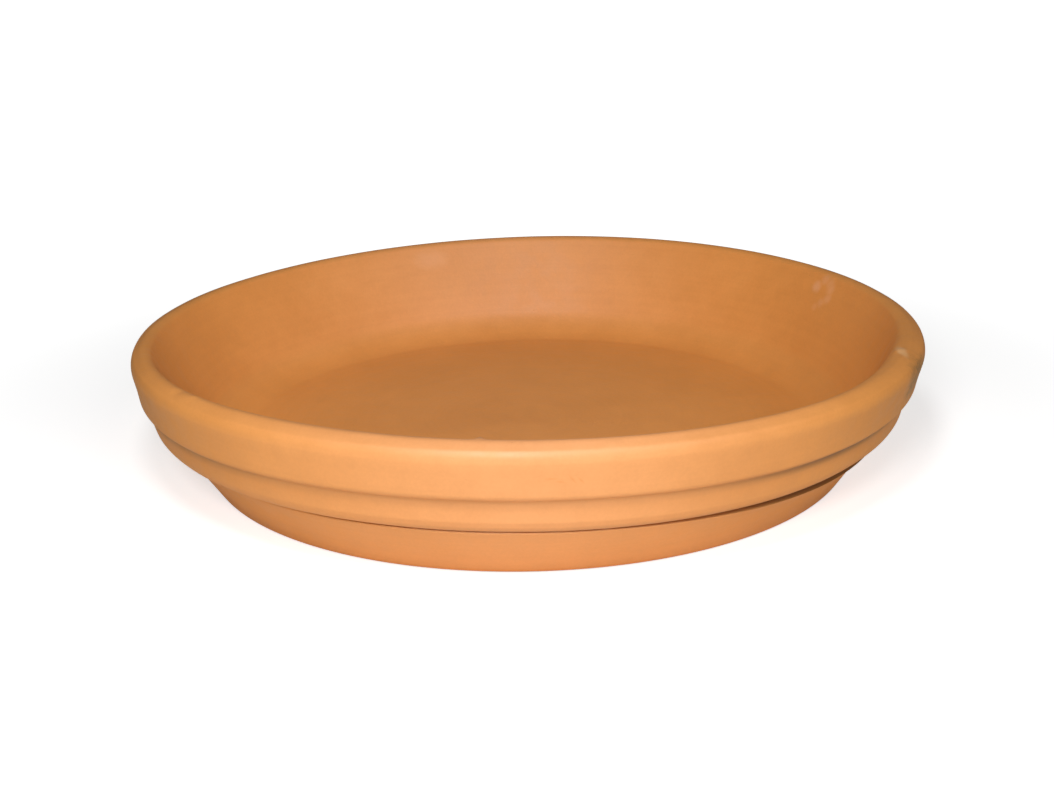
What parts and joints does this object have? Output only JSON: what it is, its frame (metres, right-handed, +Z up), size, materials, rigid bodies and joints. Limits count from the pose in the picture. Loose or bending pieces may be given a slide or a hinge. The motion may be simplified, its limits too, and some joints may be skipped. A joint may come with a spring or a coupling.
{
  "type": "plant saucer",
  "caption": "Round terracotta saucer with a stepped wall, rounded lip and flat floor, which stands under a flower pot and catches its water.",
  "frame": {"origin": "centre of the flat underside, on the surface that the saucer stands on", "axes": "+Z up, along the axis that the saucer is turned about; X and Y are any two level directions"},
  "size_m": [0.202, 0.202, 0.0354],
  "materials": {
    "terracotta": "matte"
  },
  "bodies": {
    "root": {"saucer": "terracotta"}
  },
  "joints": []
}
